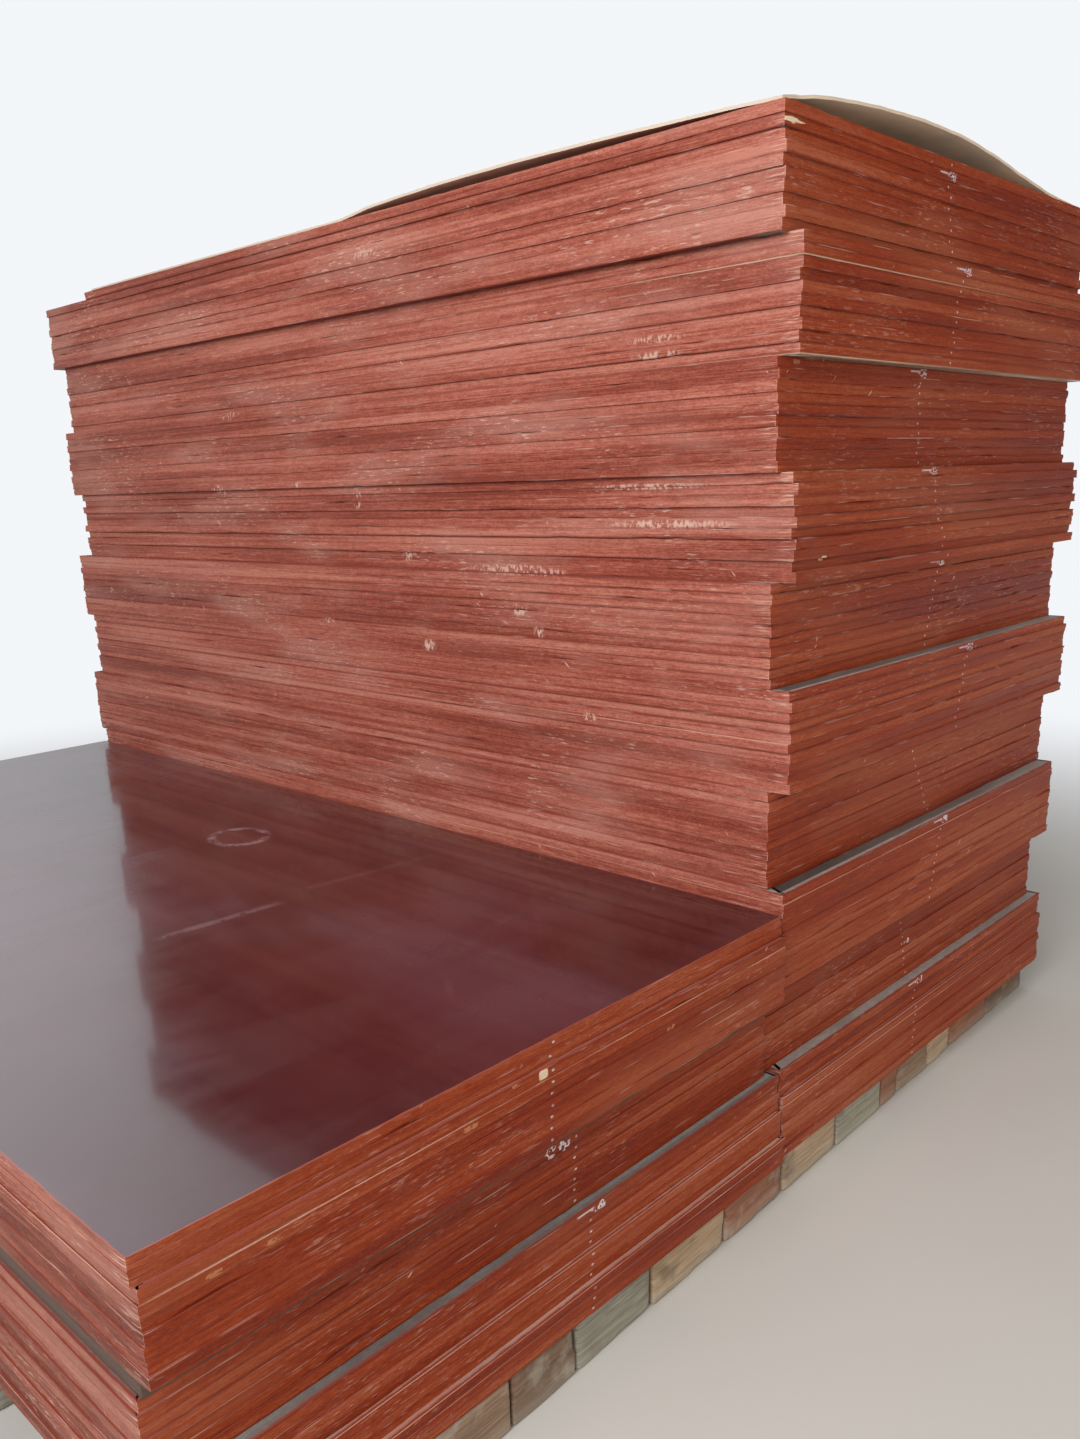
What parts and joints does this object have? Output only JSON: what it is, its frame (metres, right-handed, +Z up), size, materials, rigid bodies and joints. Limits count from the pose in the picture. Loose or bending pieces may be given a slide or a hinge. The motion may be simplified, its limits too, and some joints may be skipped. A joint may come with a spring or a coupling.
{
  "type": "stack of plywood sheets",
  "caption": "Film-faced plywood sheets in a tall and a low pile side by side, raised on rows of timber blocks, with a loose bowed cover board on top.",
  "frame": {"origin": "middle of the stack's footprint, on the floor", "axes": "+Z up, +X across the sheets from the low pile to the tall one, +Y along the sheets away from the front"},
  "size_m": [2.4844, 2.5034, 1.901],
  "materials": {
    "plywood_sheet": "red-brown painted edges, glossy dark film on the faces",
    "timber_block": "rough sawn, weathered",
    "cover_board": "plain brown, matte"
  },
  "bodies": {
    "root": {"block_row_1": "timber_block", "block_row_2": "timber_block", "block_row_3": "timber_block", "block_row_4": "timber_block", "block_row_5": "timber_block", "cover_board": "cover_board", "low_tier_01_lower": "plywood_sheet", "low_tier_01_middle": "plywood_sheet", "low_tier_01_upper": "plywood_sheet", "low_tier_02": "plywood_sheet", "low_tier_03_base": "plywood_sheet", "low_tier_03_lower": "plywood_sheet", "low_tier_03_upper": "plywood_sheet", "tall_tier_01_lower": "plywood_sheet", "tall_tier_01_upper": "plywood_sheet", "tall_tier_02": "plywood_sheet", "tall_tier_03": "plywood_sheet", "tall_tier_04": "plywood_sheet", "tall_tier_05": "plywood_sheet", "tall_tier_06": "plywood_sheet", "tall_tier_07": "plywood_sheet", "tall_tier_08": "plywood_sheet", "tall_tier_09_lower": "plywood_sheet", "tall_tier_09_upper": "plywood_sheet", "tall_tier_10": "plywood_sheet", "tall_top_sheet": "plywood_sheet"}
  },
  "joints": []
}
